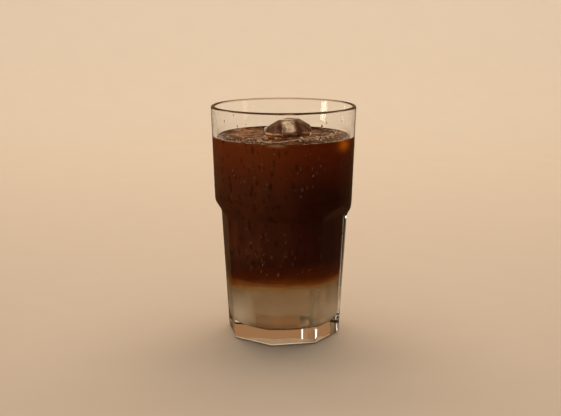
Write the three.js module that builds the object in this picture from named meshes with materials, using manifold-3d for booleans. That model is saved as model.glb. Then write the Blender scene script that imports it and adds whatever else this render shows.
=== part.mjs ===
// Coffee lemonade in a clear faceted tumbler.
// The glass is round at the top and eight-sided below a soft shoulder, with a
// heavy base.  It holds a pale lemonade layer, a thin amber layer where the two
// drinks blend, dark coffee above, and one melting lump of ice that stands out
// of the surface.
// Millimetres, +Z up, origin at the middle of the base.

import * as THREE from 'three';
import { ConvexGeometry } from 'three/addons/geometries/ConvexGeometry.js';
import { mergeVertices } from 'three/addons/utils/BufferGeometryUtils.js';
import Module from 'manifold-3d';

// ---------------------------------------------------------------- sizes
const HEIGHT = 140;            // whole glass
const RIM_RADIUS = 43.6;       // outside of the rim
const UPPER_RADIUS = 41.8;     // outside of the round part, just above the shoulder
const UPPER_Z = 88;
const LIP_RADIUS = 1.2;        // full-round lip

const SIDES = 8;               // flat sides below the shoulder
const FACET = (2 * Math.PI) / SIDES;
const CORNER_TURN = (-12 * Math.PI) / 180;   // a corner stands 12 degrees left of the front
const APOTHEM_FOOT = 32.45;    // middle of a flat side at the base ...
const APOTHEM_TOP = 36.4;      // ... and at the shoulder
const SHOULDER_Z = 75.0;       // where the flat sides start to lean out
const SHOULDER_SLOPE = 1.5;    // rise over run of the lean
const SHOULDER_SOFT = 0.5;     // softness of the inner bend
const ARCH_SOFT = 0.45;        // softness of the arched edge
const EDGE_SOFT = 0.38;        // softness of the upright edges
const HEEL = 1.6;              // rounding at the foot

const BORE_RIM = 41.2;         // inside radius at the lip
const BORE_UPPER = 38.95;      // inside radius at UPPER_BORE_Z
const UPPER_BORE_Z = 90;
const BORE_LOWER = 29.6;       // inside radius below the shoulder
const LOWER_BORE_Z = 72;
const BORE_FOOT = 27.0;        // inside radius near the floor
const FOOT_BORE_Z = 12;
const STEP_LOW = 75;           // the inside widens between these heights
const STEP_HIGH = 89;
const FLOOR_Z = 7.6;           // inside floor
const FLOOR_ROUND = 5.0;       // rounding between the floor and the wall

const GAP = 0.3;               // clearance between neighbouring solids
const LEMONADE_TOP = 33.8;
const COFFEE_FOOT = 38.0;
const COFFEE_TOP = 121.0;
const MENISCUS = 0.9;          // how far the coffee climbs the wall
const MENISCUS_REACH = 2.4;

const ICE_Y = 10.0;            // middle of the ice behind the axis
const ICE_ANGLES = [-112, -66, -14, 24, 70, 122, 185];   // corners of the ice, degrees from the front
// height, middle and radius of each ring of the ice, from below to the crown
const ICE_RINGS = [
  { z: 103.0, x: 2.4, r: 7.5 },
  { z: 108.0, x: 2.4, r: 11.8 },
  { z: 117.0, x: 2.4, r: 13.8 },
  { z: 123.6, x: 2.5, r: 16.2 },
  { z: 127.6, x: 3.4, r: 12.2 },
  { z: 130.1, x: 4.2, r: 7.2 },
];
const ICE_UNEVEN = 0.05;       // how far the corners wander, as a share of the radius
const ICE_TWIST = 3;           // how far the corners turn, degrees
const ICE_LIFT = 0.35;         // how far the corners rise and fall

// ---------------------------------------------------------------- forms
const lerp = (a, b, t) => a + (b - a) * t;
const ease = (t) => { const c = Math.min(1, Math.max(0, t)); return c * c * (3 - 2 * c); };
const softMin = (a, b, k) => Math.min(a, b) - k * Math.log1p(Math.exp(-Math.abs(a - b) / k));
const softMax = (a, b, k) => -softMin(-a, -b, k);

const upperRadius = (z) => lerp(UPPER_RADIUS, RIM_RADIUS, (z - UPPER_Z) / (HEIGHT - UPPER_Z));
const apothem = (z) => lerp(APOTHEM_FOOT, APOTHEM_TOP, z / SHOULDER_Z);

// Outside of the glass at an angle from the front: flat sides, leaning tops, round upper part.
function outerRadius(theta, z) {
  const lean = APOTHEM_TOP + (z - SHOULDER_Z) / SHOULDER_SLOPE;
  const flat = softMax(apothem(z), lean, SHOULDER_SOFT);
  let phi = (theta - CORNER_TURN) % FACET;
  if (phi < 0) phi += FACET;
  phi -= FACET / 2;
  const near = flat / Math.cos(phi);
  const next = flat / Math.cos(FACET - Math.abs(phi));
  return softMin(softMin(near, next, EDGE_SOFT), upperRadius(z), ARCH_SOFT);
}

// Inside of the glass: two tapers joined by a soft step.
function boreRadius(z) {
  const low = lerp(BORE_FOOT, BORE_LOWER, (z - FOOT_BORE_Z) / (LOWER_BORE_Z - FOOT_BORE_Z));
  const high = lerp(BORE_UPPER, BORE_RIM, (z - UPPER_BORE_Z) / (HEIGHT - UPPER_BORE_Z));
  return lerp(low, high, ease((z - STEP_LOW) / (STEP_HIGH - STEP_LOW)));
}

const spread = (from, to, steps) => Array.from({ length: steps + 1 }, (_, i) => lerp(from, to, i / steps));

// Closed skin of rings round the Z axis.  The first and last rows are single points on the axis.
function ringSkin(rows, angles) {
  const n = angles.length;
  const position = [];
  const index = [];
  position.push(0, 0, rows[0].z);
  for (let r = 1; r < rows.length - 1; r++) {
    for (const a of angles) {
      const radius = rows[r].radius(a);
      position.push(radius * Math.sin(a), -radius * Math.cos(a), rows[r].z);
    }
  }
  position.push(0, 0, rows[rows.length - 1].z);
  const last = position.length / 3 - 1;
  const at = (r, i) => 1 + (r - 1) * n + (i % n);
  for (let i = 0; i < n; i++) index.push(0, at(1, i + 1), at(1, i));
  for (let r = 1; r < rows.length - 2; r++) {
    for (let i = 0; i < n; i++) {
      index.push(at(r, i), at(r, i + 1), at(r + 1, i + 1));
      index.push(at(r, i), at(r + 1, i + 1), at(r + 1, i));
    }
  }
  for (let i = 0; i < n; i++) index.push(at(rows.length - 2, i), at(rows.length - 2, i + 1), last);
  const geometry = new THREE.BufferGeometry();
  geometry.setAttribute('position', new THREE.Float32BufferAttribute(position, 3));
  geometry.setIndex(index);
  return geometry;
}

const round = (radius) => () => radius;

// Angles that crowd towards the upright edges, so that the rounded edges keep their form.
function facetAngles() {
  const share = [0, 0.05, 0.16, 0.32, 0.5, 0.68, 0.84, 0.95];
  const angles = [];
  for (let s = 0; s < SIDES; s++) for (const t of share) angles.push(CORNER_TURN + (s + t) * FACET);
  return angles;
}

function glassGeometry() {
  const rows = [{ z: 0 }];
  for (const t of [0, 0.2, 0.45, 0.72, 1]) {
    const drop = HEEL * (1 - Math.cos((t * Math.PI) / 2));
    const inset = HEEL * (1 - Math.sin((t * Math.PI) / 2));
    rows.push({ z: drop, radius: (a) => outerRadius(a, HEEL) - inset });
  }
  const rises = [...spread(14, 70, 2), ...spread(73, 87, 14), 96, 118, HEIGHT - LIP_RADIUS];
  for (const z of rises) rows.push({ z, radius: (a) => outerRadius(a, z) });
  const outer = upperRadius(HEIGHT - LIP_RADIUS);
  const inner = boreRadius(HEIGHT - LIP_RADIUS);
  for (const t of spread(0, 1, 6).slice(1, -1)) {
    const middle = (outer + inner) / 2;
    const half = (outer - inner) / 2;
    rows.push({ z: HEIGHT - LIP_RADIUS + LIP_RADIUS * Math.sin(t * Math.PI),
      radius: round(middle + half * Math.cos(t * Math.PI)) });
  }
  const falls = [HEIGHT - LIP_RADIUS, 115, ...spread(STEP_HIGH + 1, STEP_LOW - 1, 8), 45, FLOOR_Z + FLOOR_ROUND];
  for (const z of falls) rows.push({ z, radius: round(boreRadius(z)) });
  for (const t of [0.33, 0.66, 1]) {
    const bend = (t * Math.PI) / 2;
    const z = FLOOR_Z + FLOOR_ROUND * (1 - Math.sin(bend));
    rows.push({ z, radius: round(boreRadius(FLOOR_Z + FLOOR_ROUND) - FLOOR_ROUND * (1 - Math.cos(bend))) });
  }
  rows.push({ z: FLOOR_Z });
  return ringSkin(rows, facetAngles());
}

// A layer of drink between two heights, a gap inside the bore.
function layerRows(heights) {
  return heights.map((z) => ({ z, radius: round(boreRadius(z) - GAP) }));
}

const ROUND_ANGLES = Array.from({ length: 48 }, (_, i) => (i * 2 * Math.PI) / 48);

function lemonadeGeometry() {
  const rows = [{ z: FLOOR_Z + GAP }];
  for (const t of [1, 0.66, 0.33]) {
    const bend = (t * Math.PI) / 2;
    const z = FLOOR_Z + GAP + FLOOR_ROUND * (1 - Math.sin(bend));
    rows.push({ z, radius: round(boreRadius(FLOOR_Z + FLOOR_ROUND) - GAP - FLOOR_ROUND * (1 - Math.cos(bend))) });
  }
  rows.push(...layerRows([FLOOR_Z + GAP + FLOOR_ROUND, LEMONADE_TOP]), { z: LEMONADE_TOP });
  return ringSkin(rows, ROUND_ANGLES);
}

function blendGeometry() {
  const low = LEMONADE_TOP + GAP;
  const high = COFFEE_FOOT - GAP;
  return ringSkin([{ z: low }, ...layerRows([low, high]), { z: high }], ROUND_ANGLES);
}

function coffeeGeometry() {
  const edge = COFFEE_TOP + MENISCUS;
  const rows = [{ z: COFFEE_FOOT }, ...layerRows([COFFEE_FOOT, 58, ...spread(STEP_LOW - 1, STEP_HIGH + 1, 8), edge])];
  const wall = boreRadius(edge) - GAP;
  for (const t of [0.35, 1]) {
    rows.push({ z: COFFEE_TOP + MENISCUS * (1 - t) * (1 - t), radius: round(wall - MENISCUS_REACH * t) });
  }
  rows.push({ z: COFFEE_TOP });
  return ringSkin(rows, ROUND_ANGLES);
}

// A melting lump: uneven rings, wrapped in flat faces.  grow widens it all round.
function iceGeometry(grow) {
  const points = [];
  ICE_RINGS.forEach((ring, k) => {
    ICE_ANGLES.forEach((corner, i) => {
      const a = ((corner + ICE_TWIST * Math.sin(1.3 * i + 2.1 * k)) * Math.PI) / 180;
      const radius = ring.r * (1 + ICE_UNEVEN * Math.sin(2.3 * i + 1.1 * k)) + grow;
      const lift = ICE_LIFT * Math.sin(1.9 * i + 0.8 * k);
      const outward = grow * (k === 0 ? -1 : k === ICE_RINGS.length - 1 ? 1 : 0);
      points.push(new THREE.Vector3(ring.x + radius * Math.sin(a), ICE_Y - radius * Math.cos(a), ring.z + lift + outward));
    });
  });
  return new ConvexGeometry(points);
}

// ---------------------------------------------------------------- cutting
const wasm = await Module();
wasm.setup();

function toSolid(geometry) {
  const bare = geometry.clone();
  bare.deleteAttribute('normal');
  bare.deleteAttribute('uv');
  const merged = mergeVertices(bare, 1e-4);
  return new wasm.Manifold(new wasm.Mesh({
    numProp: 3,
    vertProperties: new Float32Array(merged.attributes.position.array),
    triVerts: new Uint32Array(merged.index.array),
  }));
}

function toGeometry(solid) {
  const mesh = solid.getMesh();
  const geometry = new THREE.BufferGeometry();
  geometry.setAttribute('position', new THREE.Float32BufferAttribute(mesh.vertProperties, 3));
  geometry.setIndex(Array.from(mesh.triVerts));
  return geometry;
}

// ---------------------------------------------------------------- the object
const finish = (color, roughness, extra = {}) =>
  new THREE.MeshStandardMaterial({ color, roughness, metalness: 0, ...extra });

const object = new THREE.Group();
function place(name, geometry, material) {
  geometry.computeVertexNormals();
  const mesh = new THREE.Mesh(geometry, material);
  mesh.name = name;
  object.add(mesh);
}

place('glass', glassGeometry(), finish('#dfe6e4', 0.04, { transparent: true, opacity: 0.3 }));
place('lemonade', lemonadeGeometry(), finish('#c9a878', 0.25));
place('amber_blend', blendGeometry(), finish('#7a4a18', 0.25));
place('coffee', toGeometry(toSolid(coffeeGeometry()).subtract(toSolid(iceGeometry(2 * GAP)))), finish('#2a120a', 0.12));
place('ice', toGeometry(toSolid(iceGeometry(0))), finish('#e4e0da', 0.08, { transparent: true, opacity: 0.5 }));

export default object;
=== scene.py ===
"""Looks of the coffee lemonade: clear faceted tumbler, layered drink, ice, bubbles and condensation.
Metres, +Z up, origin at the middle of the base of the glass, front towards -Y."""
import math
import random

import bmesh
import bpy
import numpy as np
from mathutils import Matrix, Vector, noise


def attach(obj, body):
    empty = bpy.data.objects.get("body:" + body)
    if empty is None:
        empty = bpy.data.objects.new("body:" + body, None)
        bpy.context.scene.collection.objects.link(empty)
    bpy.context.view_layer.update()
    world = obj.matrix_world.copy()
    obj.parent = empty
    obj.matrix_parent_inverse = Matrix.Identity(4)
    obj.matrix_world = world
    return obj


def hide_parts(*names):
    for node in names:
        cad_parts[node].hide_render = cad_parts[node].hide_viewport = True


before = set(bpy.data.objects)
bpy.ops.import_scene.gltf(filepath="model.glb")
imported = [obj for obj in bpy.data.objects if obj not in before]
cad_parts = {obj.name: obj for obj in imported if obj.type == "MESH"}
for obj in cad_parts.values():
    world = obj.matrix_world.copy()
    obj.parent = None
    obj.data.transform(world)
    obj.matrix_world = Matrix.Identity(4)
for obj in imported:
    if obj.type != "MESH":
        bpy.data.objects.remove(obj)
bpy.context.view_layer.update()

MM = 0.001

# ------------------------------------------------------------------ sizes in millimetres
HEIGHT = 140.0
RIM_RADIUS = 43.54
UPPER_RADIUS, UPPER_Z = 41.8, 88.0
LIP = 1.2
SIDES = 8
FACET = 2 * math.pi / SIDES
CORNER_TURN = math.radians(-12)
APOTHEM_FOOT, APOTHEM_TOP = 32.45, 36.4
SHOULDER_Z, SHOULDER_SLOPE = 75.0, 1.5
SHOULDER_SOFT, ARCH_SOFT, EDGE_SOFT = 0.5, 0.45, 0.38
HEEL = 1.6
BORE_RIM, BORE_UPPER, UPPER_BORE_Z = 41.2, 38.95, 90.0
BORE_LOWER, LOWER_BORE_Z, BORE_FOOT, FOOT_BORE_Z = 29.6, 72.0, 27.0, 12.0
STEP_LOW, STEP_HIGH = 75.0, 89.0
FLOOR_Z, FLOOR_ROUND = 7.6, 5.0
INTO_WALL = 0.15                      # how far the drink reaches into the wall
LEMONADE_TOP, COFFEE_FOOT, COFFEE_TOP = 33.8, 38.0, 121.0
MENISCUS, MENISCUS_REACH = 0.9, 2.4
LAYER_TILT = 0.038                    # the layers rise gently towards +X
LAYER_SAG = 2.6

ICE_MIDDLE = (2.4, 10.0)
ICE_ANGLES = [-112, -66, -14, 24, 70, 122, 185]
# height, middle in X and radius of each ring of the ice
ICE_RINGS = [(103.0, 2.4, 7.5), (108.0, 2.4, 11.8), (117.0, 2.4, 13.8), (123.6, 2.5, 16.2), (127.6, 3.4, 12.2), (130.1, 4.2, 7.2)]


# ------------------------------------------------------------------ forms
def lerp(a, b, t):
    return a + (b - a) * t


def ease(t):
    t = np.clip(t, 0, 1)
    return t * t * (3 - 2 * t)


def soft_min(a, b, k):
    return np.minimum(a, b) - k * np.log1p(np.exp(-np.abs(a - b) / k))


def soft_max(a, b, k):
    return -soft_min(-a, -b, k)


def upper_radius(z):
    return lerp(UPPER_RADIUS, RIM_RADIUS, (z - UPPER_Z) / (HEIGHT - UPPER_Z))


def outer_radius(theta, z):
    apothem = lerp(APOTHEM_FOOT, APOTHEM_TOP, z / SHOULDER_Z)
    lean = APOTHEM_TOP + (z - SHOULDER_Z) / SHOULDER_SLOPE
    flat = soft_max(apothem, lean, SHOULDER_SOFT)
    phi = np.mod(theta - CORNER_TURN, FACET) - FACET / 2
    near = flat / np.cos(phi)
    following = flat / np.cos(FACET - np.abs(phi))
    return soft_min(soft_min(near, following, EDGE_SOFT), upper_radius(z), ARCH_SOFT)


def bore_radius(z):
    low = lerp(BORE_FOOT, BORE_LOWER, (z - FOOT_BORE_Z) / (LOWER_BORE_Z - FOOT_BORE_Z))
    high = lerp(BORE_UPPER, BORE_RIM, (z - UPPER_BORE_Z) / (HEIGHT - UPPER_BORE_Z))
    return lerp(low, high, ease((z - STEP_LOW) / (STEP_HIGH - STEP_LOW)))


def place(points):
    """Cylinder coordinates (radius, angle from the front, height) in millimetres to metres."""
    r, a, z = points
    return np.stack([r * np.sin(a), -r * np.cos(a), z * np.ones_like(r)], -1) * MM


def add_object(name, me):
    ob = bpy.data.objects.new(name, me)
    bpy.context.scene.collection.objects.link(ob)
    return ob


def from_arrays(name, verts, faces, smooth=True):
    me = bpy.data.meshes.new(name)
    me.from_pydata([tuple(v) for v in verts], [], [tuple(f) for f in faces])
    me.validate()
    me.polygons.foreach_set("use_smooth", [smooth] * len(me.polygons))
    me.update()
    return add_object(name, me)


def ring_skin(name, rows, angles):
    """Closed skin: rows of (height, radii over the angles), with the two ends closed on the axis."""
    n = len(angles)
    full = lambda v: np.broadcast_to(np.asarray(v, float), (n,))
    on_axis = lambda z: np.array([[0.0, 0.0, float(np.mean(z)) * MM]])
    verts = [on_axis(rows[0][0])]
    verts += [place((full(r), angles, full(z))) for z, r in rows]
    verts.append(on_axis(rows[-1][0]))
    allv = np.concatenate(verts)
    faces = []
    last = len(allv) - 1
    for i in range(n):
        j = (i + 1) % n
        faces.append((0, 1 + j, 1 + i))
        top = 1 + (len(rows) - 1) * n
        faces.append((top + i, top + j, last))
    for r in range(len(rows) - 1):
        a, b = 1 + r * n, 1 + (r + 1) * n
        for i in range(n):
            j = (i + 1) % n
            faces.append((a + i, a + j, b + j, b + i))
    return from_arrays(name, allv, faces)


def facet_angles(per_side):
    t = np.arange(per_side) / per_side
    t = t - 0.6 * np.sin(2 * math.pi * t) / (2 * math.pi)
    return np.concatenate([CORNER_TURN + (s + t) * FACET for s in range(SIDES)])


def round_angles(n):
    return np.arange(n) * 2 * math.pi / n


# ------------------------------------------------------------------ material helpers
def new_material(name):
    m = bpy.data.materials.new(name)
    m.use_nodes = True
    nt = m.node_tree
    bsdf = nt.nodes["Principled BSDF"]
    return m, nt, bsdf


def node(nt, kind, **values):
    n = nt.nodes.new(kind)
    for k, v in values.items():
        if k in n.inputs:
            n.inputs[k].default_value = v
        else:
            setattr(n, k, v)
    return n


def noise_node(nt, source, scale, detail=3.0, rough=0.5, stretch=None):
    if stretch is not None:
        mp = node(nt, "ShaderNodeMapping")
        mp.inputs["Scale"].default_value = stretch
        nt.links.new(source, mp.inputs["Vector"])
        source = mp.outputs["Vector"]
    n = node(nt, "ShaderNodeTexNoise")
    n.inputs["Scale"].default_value = scale
    n.inputs["Detail"].default_value = detail
    n.inputs["Roughness"].default_value = rough
    nt.links.new(source, n.inputs["Vector"])
    return n.outputs["Fac"]


def ramp(nt, source, stops, interpolation="LINEAR"):
    n = node(nt, "ShaderNodeValToRGB")
    n.color_ramp.interpolation = interpolation
    e = n.color_ramp.elements
    while len(e) < len(stops):
        e.new(0.5)
    for el, (pos, col) in zip(e, stops):
        el.position = pos
        el.color = col if len(col) == 4 else (*col, 1)
    nt.links.new(source, n.inputs["Fac"])
    return n.outputs["Color"]


def math_node(nt, op, a, b=None, c=None, clamp=False):
    n = node(nt, "ShaderNodeMath", operation=op)
    n.use_clamp = clamp
    for i, v in enumerate((a, b, c)):
        if v is None:
            continue
        if isinstance(v, (int, float)):
            n.inputs[i].default_value = v
        else:
            nt.links.new(v, n.inputs[i])
    return n.outputs[0]


def map_range(nt, v, a, b, c=0.0, d=1.0, smooth=False):
    n = node(nt, "ShaderNodeMapRange")
    n.interpolation_type = "SMOOTHSTEP" if smooth else "LINEAR"
    nt.links.new(v, n.inputs["Value"])
    for key, val in (("From Min", a), ("From Max", b), ("To Min", c), ("To Max", d)):
        n.inputs[key].default_value = val
    return n.outputs["Result"]


def mix_color(nt, fac, a, b, blend="MIX"):
    n = node(nt, "ShaderNodeMix", data_type="RGBA")
    n.blend_type = blend
    for i, v in ((0, fac), (6, a), (7, b)):
        if isinstance(v, (int, float)):
            n.inputs[i].default_value = v
        elif isinstance(v, tuple):
            n.inputs[i].default_value = v if len(v) == 4 else (*v, 1)
        else:
            nt.links.new(v, n.inputs[i])
    return n.outputs[2]


def bump(nt, bsdf, height, strength, distance):
    n = node(nt, "ShaderNodeBump")
    n.inputs["Strength"].default_value = strength
    n.inputs["Distance"].default_value = distance
    nt.links.new(height, n.inputs["Height"])
    nt.links.new(n.outputs["Normal"], bsdf.inputs["Normal"])


def srgb(r, g, b):
    f = lambda c: (c / 255) / 12.92 if c <= 10.3 else ((c / 255 + 0.055) / 1.055) ** 2.4
    return (f(r), f(g), f(b))


# ------------------------------------------------------------------ materials
def glass_material():
    m, nt, b = new_material("clear_glass")
    b.inputs["Transmission Weight"].default_value = 1.0
    b.inputs["IOR"].default_value = 1.5
    b.inputs["Specular Tint"].default_value = (0.55, 0.46, 0.36, 1)
    pos = node(nt, "ShaderNodeTexCoord").outputs["Object"]
    # painted shade: the lip is tinted dark brown so that the rim reads as a dark line
    sep = node(nt, "ShaderNodeSeparateXYZ")
    nt.links.new(pos, sep.inputs[0])
    painted_rim_shade = map_range(nt, sep.outputs["Z"], (HEIGHT - LIP) * MM, (HEIGHT - 0.6 * LIP) * MM, 0, 1, True)
    nt.links.new(mix_color(nt, painted_rim_shade, (0.985, 0.992, 0.988), (0.50, 0.38, 0.30)), b.inputs["Base Color"])
    smears = noise_node(nt, pos, 55, 4, 0.6, (1, 1, 0.35))
    rough = map_range(nt, smears, 0.5, 0.75, 0.0, 0.035)
    nt.links.new(rough, b.inputs["Roughness"])
    waves = noise_node(nt, pos, 70, 1, 0.4)
    bump(nt, b, waves, 0.05, 0.0006)
    return m


def height_value(nt, wander):
    """Height in millimetres, tilted and pushed about by soft swirls, for the layered colours."""
    pos = node(nt, "ShaderNodeTexCoord").outputs["Object"]
    sep = node(nt, "ShaderNodeSeparateXYZ")
    nt.links.new(pos, sep.inputs[0])
    z = math_node(nt, "MULTIPLY", sep.outputs["Z"], 1000.0)
    x = math_node(nt, "MULTIPLY", sep.outputs["X"], -1000.0 * LAYER_TILT)
    z = math_node(nt, "ADD", z, x)
    # the layers hang a little lower towards the two sides
    sag = math_node(nt, "POWER", math_node(nt, "ABSOLUTE", math_node(nt, "MULTIPLY", sep.outputs["X"], 1000.0 / 28.0)), 2.0)
    z = math_node(nt, "ADD", z, math_node(nt, "MULTIPLY", sag, LAYER_SAG))
    swirl = noise_node(nt, pos, 60, 4, 0.55, (1, 1, 2.2))
    swirl = math_node(nt, "SUBTRACT", swirl, 0.5)
    swirl = math_node(nt, "MULTIPLY", swirl, wander)
    return math_node(nt, "ADD", z, swirl), pos, sep


COFFEE_DARK = srgb(58, 22, 9)
COFFEE_DROP = srgb(36, 11, 3)
# lighter brown of a painted reflection veil mixed with condensation mist
COFFEE_SHEEN_AND_MIST = srgb(116, 64, 38)
# painted glow near the surface of the coffee
COFFEE_GLOW = srgb(134, 52, 12)
AMBER_DEEP = srgb(96, 40, 8)
AMBER = srgb(158, 84, 22)
AMBER_PALE = srgb(190, 146, 84)
LEMON_TOP = srgb(212, 186, 146)
LEMON = srgb(250, 230, 196)


def drink_colour(nt, z):
    """Colour of the whole drink by height in millimetres."""
    t = map_range(nt, z, 8, 58)
    at = lambda mm: (mm - 8) / 50
    return ramp(nt, t, [
        (at(8), LEMON), (at(18), LEMON), (at(31), LEMON_TOP),
        (at(34), AMBER_PALE), (at(36.2), AMBER), (at(40.5), AMBER_DEEP), (at(50), COFFEE_DARK)])


def near_spot(nt, pos, where, reach):
    """1 at a point (millimetres), falling softly to 0 at a distance of reach."""
    d = node(nt, "ShaderNodeVectorMath", operation="DISTANCE")
    nt.links.new(pos, d.inputs[0])
    d.inputs[1].default_value = tuple(v * MM for v in where)
    return map_range(nt, d.outputs["Value"], reach * MM, 0.0, 0, 1, True)


def coffee_material():
    """Coffee against the wall of the glass: almost no gloss of its own there, misted by condensation and a painted
    reflection veil, specked by condensation, with painted glow and a painted highlight near the surface.
    """
    m, nt, b = new_material("coffee")
    z, pos, sep = height_value(nt, 5.0)
    col = drink_colour(nt, z)
    # painted light: lighter and redder near the surface where light comes in; towards the left side a painted
    # reflection veil, mixed with condensation mist
    top = map_range(nt, sep.outputs["Z"], 0.088, 0.122, 0, 1, True)
    side = map_range(nt, sep.outputs["X"], 0.022, -0.034, 0, 1, True)
    cloud = map_range(nt, noise_node(nt, pos, 45, 4, 0.6, (1, 1, 0.4)), 0.35, 0.7, 0.45, 1.0)
    streaks = map_range(nt, noise_node(nt, pos, 170, 2, 0.5, (1, 1, 0.07)), 0.35, 0.65, 0.7, 1.0)
    painted_sheen_and_mist = math_node(nt, "MULTIPLY", math_node(nt, "MULTIPLY", side, cloud), streaks)
    painted_sheen_and_mist = math_node(nt, "MULTIPLY", painted_sheen_and_mist, map_range(nt, z, 44, 56))
    col = mix_color(nt, painted_sheen_and_mist, col, COFFEE_SHEEN_AND_MIST)
    # painted light: a redder glow near the surface, stronger at the upper left
    col = mix_color(nt, math_node(nt, "MULTIPLY", top, 0.6), col, COFFEE_GLOW)
    col = mix_color(nt, math_node(nt, "MULTIPLY", math_node(nt, "MULTIPLY", top, side), 0.5), col, srgb(150, 76, 34))
    # clear drops in the mist show darker
    mp = node(nt, "ShaderNodeMapping")
    mp.inputs["Scale"].default_value = (1, 1, 0.42)
    nt.links.new(pos, mp.inputs["Vector"])
    cell = node(nt, "ShaderNodeTexVoronoi")
    cell.inputs["Scale"].default_value = 330.0
    nt.links.new(mp.outputs["Vector"], cell.inputs["Vector"])
    drop = map_range(nt, cell.outputs["Distance"], 0.44, 0.24, 0, 1, True)
    patch = map_range(nt, noise_node(nt, pos, 150, 2, 0.5), 0.44, 0.54, 0, 1, True)
    drop = math_node(nt, "MULTIPLY", math_node(nt, "MULTIPLY", drop, patch), map_range(nt, sep.outputs["X"], 0.03, -0.01, 0.15, 0.52))
    drop = math_node(nt, "MULTIPLY", drop, map_range(nt, z, 44, 54))
    col = mix_color(nt, drop, col, COFFEE_DROP)
    # painted glow: light caught in the rim of the liquid, painted as an orange patch near the right side
    glow = math_node(nt, "POWER", near_spot(nt, pos, (33.9, -21.6, 119.6), 14.0), 2.2)
    glow = math_node(nt, "MULTIPLY", glow, map_range(nt, sep.outputs["Z"], 0.1120, 0.1192, 0, 0.95, True))
    glow = math_node(nt, "MULTIPLY", glow, map_range(nt, noise_node(nt, pos, 160, 3, 0.6), 0.36, 0.60, 0.55, 1.0, True))
    col = mix_color(nt, glow, col, srgb(250, 132, 16))
    # painted highlight: a pale streak along the front of the meniscus
    painted_meniscus_highlight = math_node(nt, "MULTIPLY", near_spot(nt, pos, (-4.0, -40.2, 121.6), 7.5), map_range(nt, sep.outputs["Z"], 0.1194, 0.1214, 0, 0.8, True))
    col = mix_color(nt, painted_meniscus_highlight, col, srgb(190, 146, 96))
    nt.links.new(col, b.inputs["Base Color"])
    b.inputs["Roughness"].default_value = 0.3
    b.inputs["IOR"].default_value = 1.34
    b.inputs["Specular IOR Level"].default_value = 0.04
    return m


def surface_material():
    """The wet open surface of the coffee, streaked with fine paler foam, kept to the back and the left as a painted
    reflection.
    """
    m, nt, b = new_material("coffee_surface")
    pos = node(nt, "ShaderNodeTexCoord").outputs["Object"]
    sep = node(nt, "ShaderNodeSeparateXYZ")
    nt.links.new(pos, sep.inputs[0])
    # thin froth drawn out into swirls
    push = node(nt, "ShaderNodeTexNoise")
    push.inputs["Scale"].default_value = 38.0
    push.inputs["Detail"].default_value = 2.0
    nt.links.new(pos, push.inputs["Vector"])
    bent = node(nt, "ShaderNodeVectorMath", operation="MULTIPLY_ADD")
    nt.links.new(push.outputs["Color"], bent.inputs[0])
    bent.inputs[1].default_value = (0.016, 0.016, 0.0)
    nt.links.new(pos, bent.inputs[2])
    froth_and_sheen = noise_node(nt, bent.outputs["Vector"], 170, 5, 0.62, (0.5, 1, 1))
    froth_and_sheen = map_range(nt, froth_and_sheen, 0.43, 0.70, 0, 1, True)
    # painted reflection: the paler froth is kept to the back and the left of the surface
    behind = map_range(nt, sep.outputs["Y"], -0.03, 0.03, 0.1, 1.0, True)
    leftward = map_range(nt, sep.outputs["X"], 0.03, -0.03, 0.55, 1.0, True)
    froth_and_sheen = math_node(nt, "MULTIPLY", math_node(nt, "MULTIPLY", froth_and_sheen, behind), leftward)
    nt.links.new(mix_color(nt, froth_and_sheen, srgb(46, 13, 4), srgb(190, 124, 76)), b.inputs["Base Color"])
    nt.links.new(map_range(nt, froth_and_sheen, 0, 1, 0.05, 0.35), b.inputs["Roughness"])
    b.inputs["IOR"].default_value = 1.34
    b.inputs["Specular IOR Level"].default_value = 0.018
    ripples = noise_node(nt, pos, 110, 3, 0.55, (0.4, 1, 1))
    bump(nt, b, ripples, 0.45, 0.0012)
    return m


def lemonade_material():
    m, nt, b = new_material("lemonade")
    z, pos, sep = height_value(nt, 5.0)
    nt.links.new(drink_colour(nt, z), b.inputs["Base Color"])
    # clear with a little haze below, closing up in the amber blend
    clear = map_range(nt, z, 31.5, 36.5, 0.86, 0.0, True)
    # painted light: cloudier down the two sides, where the light comes in, so that they show as brighter strips
    low = map_range(nt, sep.outputs["Z"], 0.034, 0.014, 0.5, 1.0, True)
    left = map_range(nt, sep.outputs["X"], -0.012, -0.025, 0, 0.95, True)
    right = map_range(nt, sep.outputs["X"], 0.012, 0.026, 0, 0.92, True)
    cloudy_lit_sides = math_node(nt, "MULTIPLY", math_node(nt, "ADD", left, right), low)
    clear = math_node(nt, "MULTIPLY", clear, math_node(nt, "SUBTRACT", 1.0, cloudy_lit_sides))
    nt.links.new(clear, b.inputs["Transmission Weight"])
    b.inputs["Roughness"].default_value = 0.12
    b.inputs["IOR"].default_value = 1.34
    b.inputs["Specular IOR Level"].default_value = 0.3
    vol = node(nt, "ShaderNodeVolumeAbsorption")
    vol.inputs["Color"].default_value = (0.404, 0.315, 0.18, 1)
    vol.inputs["Density"].default_value = 26.0
    nt.links.new(vol.outputs[0], nt.nodes["Material Output"].inputs["Volume"])
    return m


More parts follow.
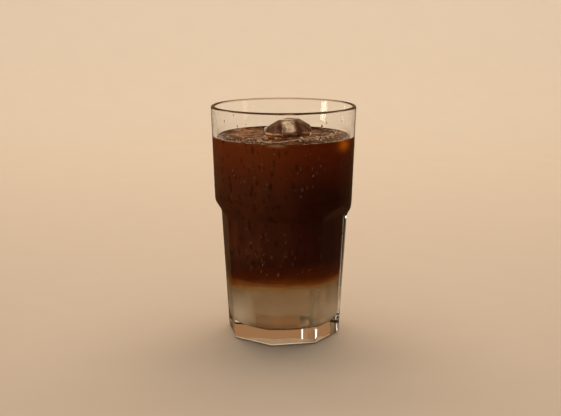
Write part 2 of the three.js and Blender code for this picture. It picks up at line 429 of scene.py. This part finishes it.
def ice_material():
    m, nt, b = new_material("ice")
    b.inputs["IOR"].default_value = 1.31
    pos = node(nt, "ShaderNodeTexCoord").outputs["Object"]
    # a milky heart behind the front face, veined by frozen bubbles, that also serves as a painted highlight on the
    # bright front facet; coffee tints the rest
    sep = node(nt, "ShaderNodeSeparateXYZ")
    nt.links.new(pos, sep.inputs[0])
    heart = math_node(nt, "MULTIPLY", near_spot(nt, pos, (3.2, 1.5, 127.5), 15.0), 1.6, clamp=True)
    lean = math_node(nt, "MULTIPLY", math_node(nt, "SUBTRACT", sep.outputs["Z"], 0.127), 0.3)
    across = math_node(nt, "ADD", sep.outputs["X"], lean)
    inside = math_node(nt, "MULTIPLY", map_range(nt, across, -0.0020, 0.0012, 0, 1, True), map_range(nt, across, 0.0086, 0.0052, 0, 1, True))
    inside = math_node(nt, "MULTIPLY", inside, map_range(nt, sep.outputs["Y"], 0.0100, 0.0005, 0, 1, True))
    inside = math_node(nt, "MULTIPLY", inside, map_range(nt, sep.outputs["Z"], 0.1222, 0.1246, 0.25, 1, True))
    beside = math_node(nt, "MULTIPLY", map_range(nt, across, -0.0050, -0.0022, 0, 1, True), map_range(nt, across, 0.0120, 0.0090, 0, 1, True))
    veins = noise_node(nt, pos, 260, 4, 0.6, (1.4, 1.4, 0.5))
    veins = map_range(nt, veins, 0.32, 0.66, 0.45, 1.0, True)
    milk_and_highlight = math_node(nt, "MULTIPLY", math_node(nt, "MULTIPLY", heart, inside), veins)
    wisps = map_range(nt, noise_node(nt, pos, 130, 4, 0.6, (1.0, 1.0, 0.4)), 0.48, 0.72, 0.04, 0.34, True)
    haze = math_node(nt, "ADD", math_node(nt, "MULTIPLY", milk_and_highlight, 0.60), wisps)
    nt.links.new(math_node(nt, "SUBTRACT", 1.0, haze), b.inputs["Transmission Weight"])
    # painted shade: the facets beside the bright one are darkened to deep brown
    shade = math_node(nt, "MULTIPLY", beside, map_range(nt, sep.outputs["Y"], 0.008, 0.002, 0.3, 1, True))
    tint = mix_color(nt, shade, (0.95, 0.63, 0.39), (0.42, 0.20, 0.09))
    nt.links.new(mix_color(nt, milk_and_highlight, tint, (0.96, 0.72, 0.48)), b.inputs["Base Color"])
    frost = noise_node(nt, pos, 210, 4, 0.6)
    nt.links.new(map_range(nt, frost, 0.5, 0.8, 0.02, 0.16), b.inputs["Roughness"])
    return m


def bubble_material():
    """Thin film of coffee: clear, with bright edges."""
    m, nt, b = new_material("bubble_film")
    pos = node(nt, "ShaderNodeTexCoord").outputs["Object"]
    tint = noise_node(nt, pos, 300, 2, 0.5)
    nt.links.new(mix_color(nt, tint, (0.72, 0.46, 0.27), (0.96, 0.76, 0.54)), b.inputs["Base Color"])
    b.inputs["Transmission Weight"].default_value = 0.62
    b.inputs["Roughness"].default_value = 0.05
    b.inputs["IOR"].default_value = 1.33
    b.inputs["Specular Tint"].default_value = (0.9, 0.72, 0.52, 1)
    return m


def sliver_material():
    """Thin ice stained by the coffee."""
    m, nt, b = new_material("stained_ice")
    pos = node(nt, "ShaderNodeTexCoord").outputs["Object"]
    stain = noise_node(nt, pos, 240, 3, 0.6)
    nt.links.new(mix_color(nt, stain, (0.34, 0.19, 0.10), (0.66, 0.46, 0.31)), b.inputs["Base Color"])
    b.inputs["Transmission Weight"].default_value = 0.45
    b.inputs["Roughness"].default_value = 0.16
    b.inputs["IOR"].default_value = 1.31
    return m


def water_material():
    m, nt, b = new_material("condensation")
    pos = node(nt, "ShaderNodeTexCoord").outputs["Object"]
    b.inputs["Base Color"].default_value = (0.97, 0.96, 0.94, 1)
    b.inputs["Transmission Weight"].default_value = 1.0
    nt.links.new(map_range(nt, noise_node(nt, pos, 500, 2, 0.5), 0.4, 0.7, 0.0, 0.05), b.inputs["Roughness"])
    b.inputs["IOR"].default_value = 1.33
    b.inputs["Specular Tint"].default_value = (0.6, 0.52, 0.44, 1)
    return m


# ------------------------------------------------------------------ pieces
def make_glass():
    angles = facet_angles(36)
    rows = []
    foot = outer_radius(angles, HEEL)
    for share in (0.3, 0.7, 0.97):
        rows.append((0.0, (foot - HEEL) * share))
    for t in np.linspace(0, 1, 8):
        rows.append((HEEL * (1 - math.cos(t * math.pi / 2)), foot - HEEL * (1 - math.sin(t * math.pi / 2))))
    # rows close together beside each bend keep the plain stretches free of bent shading
    wall_top = HEIGHT - LIP
    near_lip = [wall_top - 1.2, wall_top - 0.4, wall_top - 0.12, wall_top]
    for z in [1.9, 2.4] + list(np.linspace(4, 70, 10)) + list(np.arange(70.5, 90, 0.5)) + list(np.linspace(90.5, 137, 12)) + near_lip:
        rows.append((z, outer_radius(angles, z)))
    out, inn = float(upper_radius(wall_top)), float(bore_radius(wall_top))
    for t in np.linspace(0, 1, 22)[1:-1]:
        rows.append((wall_top + LIP * math.sin(t * math.pi), (out + inn) / 2 + (out - inn) / 2 * math.cos(t * math.pi)))
    bend = FLOOR_Z + FLOOR_ROUND
    for z in near_lip[::-1] + list(np.linspace(137, 90.5, 12)) + list(np.arange(90, 74, -0.5)) + list(np.linspace(73, bend + 2, 8)) + [bend + 0.8, bend + 0.2, bend]:
        rows.append((z, float(bore_radius(z))))
    base = float(bore_radius(bend))
    for t in np.linspace(0, 1, 14)[1:]:
        rows.append((FLOOR_Z + FLOOR_ROUND * (1 - math.sin(t * math.pi / 2)), base - FLOOR_ROUND * (1 - math.cos(t * math.pi / 2))))
    for share in (0.97, 0.6, 0.25):
        rows.append((FLOOR_Z, (base - FLOOR_ROUND) * share))
    ob = ring_skin("glass_body", rows, angles)
    ob.data.materials.append(glass_material())
    return ob


def make_lemonade():
    """Lemonade and the amber blend above it are one body of liquid, so that no seam shows between them."""
    angles = round_angles(160)
    base = float(bore_radius(FLOOR_Z + FLOOR_ROUND)) + INTO_WALL
    floor = FLOOR_Z - INTO_WALL
    top = COFFEE_FOOT + 0.1
    rows = [(floor, (base - FLOOR_ROUND) * s) for s in (0.3, 0.7, 0.97)]
    for t in np.linspace(1, 0, 9):
        rows.append((floor + FLOOR_ROUND * (1 - math.sin(t * math.pi / 2)), base - FLOOR_ROUND * (1 - math.cos(t * math.pi / 2))))
    for z in np.linspace(14, top, 12):
        rows.append((z, float(bore_radius(z)) + INTO_WALL))
    rim = float(bore_radius(top)) + INTO_WALL
    rows += [(top, rim * s) for s in (0.97, 0.6, 0.3)]
    ob = ring_skin("lemonade_layers", rows, angles)
    ob.data.materials.append(lemonade_material())
    return ob


def ice_hull(name, shrink=0.0):
    bm = bmesh.new()
    for k, (z, mid, r) in enumerate(ICE_RINGS):
        for i, a in enumerate(ICE_ANGLES):
            wander = 1 + (0.05 if k < 4 else 0.13) * math.sin(2.3 * i + 1.1 * k)
            rr = r * wander - shrink
            a = math.radians(a + 3 * math.sin(1.3 * i + 2.1 * k))
            bm.verts.new(((mid + rr * math.sin(a)) * MM, (ICE_MIDDLE[1] - rr * math.cos(a)) * MM,
                          (z + 0.35 * math.sin(1.9 * i + 0.8 * k)) * MM))
    hull = bmesh.ops.convex_hull(bm, input=bm.verts[:])
    bmesh.ops.delete(bm, geom=[g for g in hull["geom_interior"] if isinstance(g, bmesh.types.BMVert)], context="VERTS")
    bmesh.ops.dissolve_limit(bm, angle_limit=math.radians(9), verts=bm.verts[:], edges=bm.edges[:])
    bmesh.ops.bevel(bm, geom=bm.edges[:] + bm.verts[:], offset=0.45 * MM, segments=2, profile=0.6, affect="EDGES", clamp_overlap=True)
    bmesh.ops.triangulate(bm, faces=bm.faces[:])
    bmesh.ops.subdivide_edges(bm, edges=bm.edges[:], cuts=2, use_grid_fill=True)
    for v in bm.verts:
        n = noise.noise(v.co * 90) * 0.14 * MM
        d = (v.co - Vector((ICE_MIDDLE[0] * MM, ICE_MIDDLE[1] * MM, 118 * MM))).normalized()
        v.co += d * (n - 0.2 * MM)
    bmesh.ops.recalc_face_normals(bm, faces=bm.faces[:])
    me = bpy.data.meshes.new(name)
    bm.to_mesh(me)
    bm.free()
    me.polygons.foreach_set("use_smooth", [True] * len(me.polygons))
    me.set_sharp_from_angle(angle=math.radians(9))
    return add_object(name, me)


def make_coffee(ice):
    angles = round_angles(200)
    rows = [(COFFEE_FOOT, (float(bore_radius(COFFEE_FOOT)) + INTO_WALL) * s) for s in (0.3, 0.7, 0.97)]
    edge = COFFEE_TOP + MENISCUS
    for z in list(np.linspace(COFFEE_FOOT, 74, 8)) + list(np.arange(74.8, 90, 0.8)) + list(np.linspace(91, edge, 12)):
        rows.append((z, float(bore_radius(z)) + INTO_WALL))
    wall = float(bore_radius(edge)) + INTO_WALL
    ripple = lambda r: np.array([0.22 * noise.noise(Vector((r * math.sin(a) / 7, r * math.cos(a) / 7, 3.1))) for a in angles])
    for t in np.linspace(0, 1, 9)[1:]:
        r = wall - MENISCUS_REACH * t
        rows.append((COFFEE_TOP + MENISCUS * (1 - t) ** 2.2 + ripple(r) * t, r))
    for r in np.linspace(wall - MENISCUS_REACH, 2, 30)[1:]:
        rows.append((COFFEE_TOP + ripple(r), r))
    ob = ring_skin("coffee_layer", rows, angles)
    cutter = ice_hull("ice_pocket", 0.12)
    mod = ob.modifiers.new("pocket", "BOOLEAN")
    mod.operation, mod.solver, mod.object = "DIFFERENCE", "EXACT", cutter
    dg = bpy.context.evaluated_depsgraph_get()
    me = bpy.data.meshes.new_from_object(ob.evaluated_get(dg))
    ob.modifiers.clear()
    ob.data = me
    bpy.data.objects.remove(cutter)
    me.polygons.foreach_set("use_smooth", [True] * len(me.polygons))
    me.set_sharp_from_angle(angle=math.radians(45))
    me.materials.clear()
    me.materials.append(coffee_material())
    me.materials.append(surface_material())
    for p in me.polygons:
        if p.center.z > (COFFEE_TOP - 0.6) * MM and p.normal.z > 0.05:
            p.material_index = 1
    return ob


# ------------------------------------------------------------------ small things on the coffee and the glass
CAMERA = (-1.81, -600.0, 205.4)        # millimetres
PITCH = math.radians(12.10)
FOCAL = 1002.0                         # in pixels of the 561 x 416 frame


def on_surface(px, py, z=COFFEE_TOP):
    """Point of a level plane that shows at a pixel of the frame."""
    u, v = (px - 280.5) / FOCAL, (208.0 - py) / FOCAL
    d = np.array([u, math.cos(PITCH) + v * math.sin(PITCH), v * math.cos(PITCH) - math.sin(PITCH)])
    return np.array(CAMERA) + d * (z - CAMERA[2]) / d[2]


class Heap:
    """Many small closed bodies gathered into one mesh."""

    def __init__(self):
        self.verts, self.faces, self.count = [], [], 0

    def add(self, verts, faces):
        self.verts.append(np.asarray(verts, float))
        self.faces += [tuple(i + self.count for i in f) for f in faces]
        self.count += len(verts)

    def finish(self, name):
        return from_arrays(name, np.concatenate(self.verts) * MM, self.faces)


def tube_faces(rings, n):
    return [(r * n + i, r * n + (i + 1) % n, (r + 1) * n + (i + 1) % n, (r + 1) * n + i) for r in range(rings - 1) for i in range(n)]


def bubble(heap, middle, radius, film=0.07):
    """Open-bottomed dome with a real film thickness, sitting a little in the liquid."""
    n, steps = (20, 9) if radius > 0.75 else (10, 5)
    polar = list(np.linspace(10, 96, steps))
    rings = [(radius, p) for p in polar] + [(radius - film, p) for p in polar[::-1]]
    verts = []
    for r, p in rings:
        p = math.radians(p)
        for i in range(n):
            a = 2 * math.pi * i / n
            verts.append((middle[0] + r * math.sin(p) * math.sin(a), middle[1] - r * math.sin(p) * math.cos(a), middle[2] + r * math.cos(p)))
    faces = [f[::-1] for f in tube_faces(len(rings), n)]
    top, under = len(verts), len(verts) + 1
    verts += [(middle[0], middle[1], middle[2] + radius), (middle[0], middle[1], middle[2] + radius - film)]
    last = (len(rings) - 1) * n
    for i in range(n):
        j = (i + 1) % n
        faces.append((top, i, j))
        faces.append((last + i, under, last + j))
    heap.add(verts, faces)


def chip(heap, middle, size, turn, seed):
    """Flat sliver of ice with an uneven outline, lying in the surface."""
    rng = random.Random(seed)
    n = 9
    outline = [rng.uniform(0.75, 1.0) for _ in range(n)]
    verts = []
    for level, share in ((-0.5, 0.55), (-0.2, 0.95), (0.25, 1.0), (0.5, 0.6)):
        for i in range(n):
            a = 2 * math.pi * i / n
            x, y = size[0] * share * outline[i] * math.cos(a), size[1] * share * outline[i] * math.sin(a)
            verts.append((middle[0] + x * math.cos(turn) - y * math.sin(turn), middle[1] + x * math.sin(turn) + y * math.cos(turn), middle[2] + level * size[2] * (0.8 + 0.2 * outline[i])))
    faces = tube_faces(4, n)
    faces.append(tuple(reversed(range(n))))
    faces.append(tuple(range(3 * n, 4 * n)))
    heap.add(verts, faces)


def make_bubbles():
    rng = random.Random(41)
    heap = Heap()
    wall = float(bore_radius(COFFEE_TOP)) - 0.4

    def put(px, py, r):
        p = on_surface(px, py)
        flat = math.hypot(p[0], p[1])
        if flat > wall - r:
            p[:2] *= (wall - r) / flat
        if math.hypot(p[0] - ICE_MIDDLE[0], p[1] - ICE_MIDDLE[1]) < 15.5 + r:
            return
        bubble(heap, (p[0], p[1], COFFEE_TOP - 0.12 * r), r)

    # froth along the right side, the chain across the front and single ones on the left
    for _ in range(70):
        t = rng.random()
        put(316 + 34 * t + rng.gauss(0, 1.5), 137.5 - 6 * t + rng.gauss(0, 2.2), rng.choice((0.3, 0.35, 0.45, 0.6, 0.8)))
    for _ in range(34):
        t = rng.random()
        put(303 + 26 * t, 140.5 - 3.5 * t + rng.gauss(0, 0.7), rng.uniform(0.28, 0.62))
    for _ in range(46):
        put(rng.uniform(216, 262), 140.5 + rng.gauss(0, 1.6), rng.uniform(0.28, 0.7))
    for _ in range(24):
        put(rng.uniform(256, 272), 142 + rng.gauss(0, 1.2), rng.uniform(0.3, 0.8))
    for px, py, r in ((332, 136, 1.7), (336, 134, 1.0), (328, 138, 0.9), (340, 134.5, 1.2), (237, 136, 1.4), (241, 137, 0.8),
                      (265, 136.5, 0.9), (276, 139, 0.9), (300, 141.5, 1.0), (322, 139, 1.0), (228, 137, 0.9), (249, 139, 0.8)):
        put(px, py, r)
    # foam that clings to the wall, in patches
    for middle, spread, count in ((-48, 9, 34), (-27, 7, 30), (-12, 5, 22), (30, 9, 26), (52, 7, 30), (74, 8, 18), (-84, 8, 16), (118, 16, 22), (-140, 18, 22), (176, 12, 12)):
        for _ in range(count):
            a = math.radians(rng.gauss(middle, spread))
            r = rng.uniform(0.25, 0.62) * (1.6 if rng.random() < 0.08 else 1.0)
            out = wall - r - abs(rng.gauss(0, 1.3))
            bubble(heap, (out * math.sin(a), -out * math.cos(a), COFFEE_TOP + 0.25 * MENISCUS * max(0.0, 1 - (wall - out) / MENISCUS_REACH) - 0.12 * r), r)
    # lines of fine foam round the ice
    for count, path in ((280, ((261, 141.4), (270, 142.3), (280, 142.3), (292, 140.6), (303, 138.8), (318, 137.2), (330, 136.2))),
                        (40, ((236, 133.4), (246, 134.6), (256, 134.2), (262, 133.0))), (30, ((312, 134.2), (320, 133.6), (330, 132.8))),
                        (40, ((218, 134.0), (226, 134.6), (240, 135.2)))):
        for _ in range(count):
            t = rng.random() * (len(path) - 1)
            i = int(t)
            put(lerp(path[i][0], path[i + 1][0], t - i) + rng.gauss(0, 0.6), lerp(path[i][1], path[i + 1][1], t - i) + rng.gauss(0, 0.16), rng.uniform(0.2, 0.42))
    ob = heap.finish("surface_bubbles")
    ob.data.materials.append(bubble_material())
    return ob


def make_slivers():
    """Thin sliver of melting ice that lies in the surface at the left."""
    heap = Heap()
    p = on_surface(233.0, 131.4)
    size = (3.8, 1.6, 1.5)
    reach = float(bore_radius(COFFEE_TOP)) - size[0] - 0.8
    p[:2] *= min(1.0, reach / math.hypot(p[0], p[1]))
    chip(heap, (p[0], p[1], COFFEE_TOP + 0.1 * size[2]), size, -0.35, 3)
    ob = heap.finish("ice_sliver")
    ob.data.polygons.foreach_set("use_smooth", [False] * len(ob.data.polygons))
    ob.data.materials.append(sliver_material())
    return ob


def make_droplets():
    """Condensation: flat drops on the outside of the glass, most of them on the left."""
    rng = random.Random(7)
    heap = Heap()
    n, layers = 12, 5
    for k in range(330):
        z = rng.uniform(44, 134) if k % 3 else rng.uniform(84, 120)
        a = rng.gauss(-28, 46) if k % 2 else rng.uniform(-180, 180)
        a = math.radians(a)
        if 70 < z < 90:
            continue
        wide = rng.uniform(0.22, 0.55) * (1.5 if rng.random() < 0.12 else 1.0)
        tall = wide * rng.uniform(1.2, 2.6)
        deep = 0.14 * wide + 0.04
        verts = []
        for layer in range(layers):
            s = math.cos(layer / layers * math.pi / 2)
            lift = deep * math.sin(layer / layers * math.pi / 2) - 0.02
            for i in range(n):
                b = 2 * math.pi * i / n
                drop = 1.0 if math.sin(b) > 0 else 0.8
                zz = z + tall * drop * s * math.sin(b)
                aa = a + wide * s * math.cos(b) / 40.0
                r = float(outer_radius(np.array([aa]), zz)[0]) + lift
                verts.append((r * math.sin(aa), -r * math.cos(aa), zz))
        faces = tube_faces(layers, n)
        r = float(outer_radius(np.array([a]), z)[0])
        verts.append(((r + deep - 0.02) * math.sin(a), -(r + deep - 0.02) * math.cos(a), z))
        verts.append(((r - 0.05) * math.sin(a), -(r - 0.05) * math.cos(a), z))
        tip, root = len(verts) - 2, len(verts) - 1
        for i in range(n):
            j = (i + 1) % n
            faces.append(((layers - 1) * n + i, (layers - 1) * n + j, tip))
            faces.append((j, i, root))
        heap.add(verts, faces)
    ob = heap.finish("condensation_drops")
    ob.data.materials.append(water_material())
    return ob


glass = make_glass()
ice = ice_hull("ice_lump")
ice.data.materials.append(ice_material())
coffee = make_coffee(ice)
lemonade = make_lemonade()
bubbles = make_bubbles()
slivers = make_slivers()
droplets = make_droplets()

PIECES = []
for piece, nodes, slot in ((glass, ["glass"], "clear_glass"), (ice, ["ice"], "ice"), (coffee, ["coffee"], "coffee"),
                           (lemonade, ["lemonade", "amber_blend"], "lemonade"), (bubbles, [], "coffee"),
                           (slivers, [], "ice"), (droplets, [], "clear_glass")):
    PIECES.append(piece)
    if nodes:
        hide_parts(*nodes)
    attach(piece, "root")

# ------------------------------------------------------------------ stage, light and camera
def make_floor():
    """Pale round floor that sweeps up a little all round, far off."""
    turn, bend, n = 0.75, 0.55, 96
    path = [(0.2, 0.0), (0.5, 0.0), (turn, 0.0)]
    path += [(turn + bend * math.sin(t), bend * (1 - math.cos(t))) for t in np.linspace(0, math.pi / 2, 25)[1:]]
    path = [p for p in path if p[1] < 0.27]
    verts = [(r * math.sin(2 * math.pi * i / n), -r * math.cos(2 * math.pi * i / n), z - 0.0003) for r, z in path for i in range(n)]
    faces = [f[::-1] for f in tube_faces(len(path), n)] + [tuple(range(n))]
    ob = from_arrays("floor", verts, faces)
    m, nt, b = new_material("pale_floor")
    pos = node(nt, "ShaderNodeTexCoord").outputs["Object"]
    grain = noise_node(nt, pos, 30, 3, 0.5)
    nt.links.new(mix_color(nt, grain, (0.70, 0.595, 0.47), (0.73, 0.62, 0.49)), b.inputs["Base Color"])
    b.inputs["Roughness"].default_value = 0.6
    ob.data.materials.append(m)
    ob.visible_glossy = False           # no grey veil of the floor on the glass


def area(name, where, target, size, radiance, colour=(1, 1, 1), mirrored=True, through=True, only=None):
    """Soft box of a given brightness.  mirrored: shows in gloss; through: shines through glass; only: what it lights."""
    li = bpy.data.lights.new(name, "AREA")
    li.shape = "RECTANGLE"
    li.size, li.size_y = size
    li.energy = radiance * math.pi * size[0] * size[1]
    li.color = colour
    ob = bpy.data.objects.new(name, li)
    bpy.context.scene.collection.objects.link(ob)
    ob.location = where
    ob.rotation_euler = (Vector(target) - Vector(where)).to_track_quat("-Z", "Y").to_euler()
    ob.visible_camera = False
    ob.visible_glossy = mirrored
    ob.visible_transmission = through
    if only:
        ob.light_linking.receiver_collection = only
    return ob


make_floor()
WARM = (1.0, 0.90, 0.78)
drink = bpy.data.collections.new("drink")
for piece in PIECES:
    drink.objects.link(piece)
def around(azimuth, elevation, distance, height=0.08):
    """A point seen from the glass at an angle from straight behind (clockwise from above) and a height angle."""
    a, e = math.radians(azimuth), math.radians(elevation)
    return (distance * math.sin(a) * math.cos(e), distance * math.cos(a) * math.cos(e), height + distance * math.sin(e))


HERE = (0.0, 0.0, 0.08)
area("sky", (0.0, 0.90, 1.25), (0.0, 0.90, 0.0), (1.8, 0.6), 3.4, WARM, False, False)
area("sweep_wash", (0.0, 0.25, 1.30), (0.0, 1.10, 0.10), (1.8, 0.4), 2.0, WARM, False, False)
area("front_fill", (-0.60, -0.90, 0.45), HERE, (1.2, 0.9), 2.25, WARM, False, True, drink)
area("right_fill", (0.80, -0.70, 0.40), HERE, (0.7, 0.7), 2.3, WARM, False, True, drink)
area("ceiling", (0.0, 0.0, 2.2), (0.0, 0.0, 0.0), (3.0, 3.0), 0.9, (1.0, 0.93, 0.85), False, False)
area("top_glint", (0.02, -0.10, 0.90), (0.0, 0.0, 0.12), (0.30, 0.22), 6.0, WARM, True, True, drink)
area("left_panel", around(256, 1.5, 0.9), HERE, (0.17, 0.14), 10.0, (1, 0.97, 0.92), False, True, drink)
area("right_panel", around(108, 1.5, 0.9), HERE, (0.13, 0.14), 1.6, (1, 0.97, 0.92), False, True, drink)
area("back_panel_a", around(337, 19, 0.95), HERE, (0.03, 0.18), 5.0, (1, 0.97, 0.92), False, True, drink)
area("back_panel_b", around(346, 19, 0.95), HERE, (0.03, 0.18), 5.0, (1, 0.97, 0.92), False, True, drink)

world = bpy.data.worlds.new("soft_room")
bpy.context.scene.world = world
world.use_nodes = True
wt = world.node_tree
bg = wt.nodes["Background"]
look = node(wt, "ShaderNodeSeparateXYZ")
wt.links.new(node(wt, "ShaderNodeTexCoord").outputs["Generated"], look.inputs[0])
rear = map_range(wt, look.outputs["Y"], -0.1, 0.6, 0, 1, True)
low_sky = map_range(wt, look.outputs["Z"], 0.97, 0.70, 0.25, 1.0, True)
above = map_range(wt, look.outputs["Z"], -0.02, 0.08, 0.15, 1.0, True)
glowing = math_node(wt, "MULTIPLY", math_node(wt, "MULTIPLY", rear, low_sky), above)
glowing = math_node(wt, "MULTIPLY", glowing, map_range(wt, look.outputs["Z"], 0.42, 0.60, 1.0, 1.8, True))
wt.links.new(mix_color(wt, rear, (0.30, 0.23, 0.17), (1.0, 0.485, 0.20)), bg.inputs["Color"])
wt.links.new(math_node(wt, "ADD", math_node(wt, "MULTIPLY", glowing, 0.31), 0.03), bg.inputs["Strength"])

cam_data = bpy.data.cameras.new("camera")
cam = bpy.data.objects.new("camera", cam_data)
bpy.context.scene.collection.objects.link(cam)
cam_data.sensor_fit = "HORIZONTAL"
cam_data.sensor_width = 36.0
cam_data.lens = 1002.0 * 36.0 / 561.0
cam_data.clip_start, cam_data.clip_end = 0.01, 200.0
cam.location = (-0.00181, -0.600, 0.2054)
cam.rotation_euler = (math.radians(90 - 12.10), 0, 0)
scene = bpy.context.scene
scene.camera = cam
scene.view_settings.view_transform = "Standard"
scene.cycles.max_bounces = 24
scene.cycles.transmission_bounces = 24
scene.cycles.transparent_max_bounces = 24
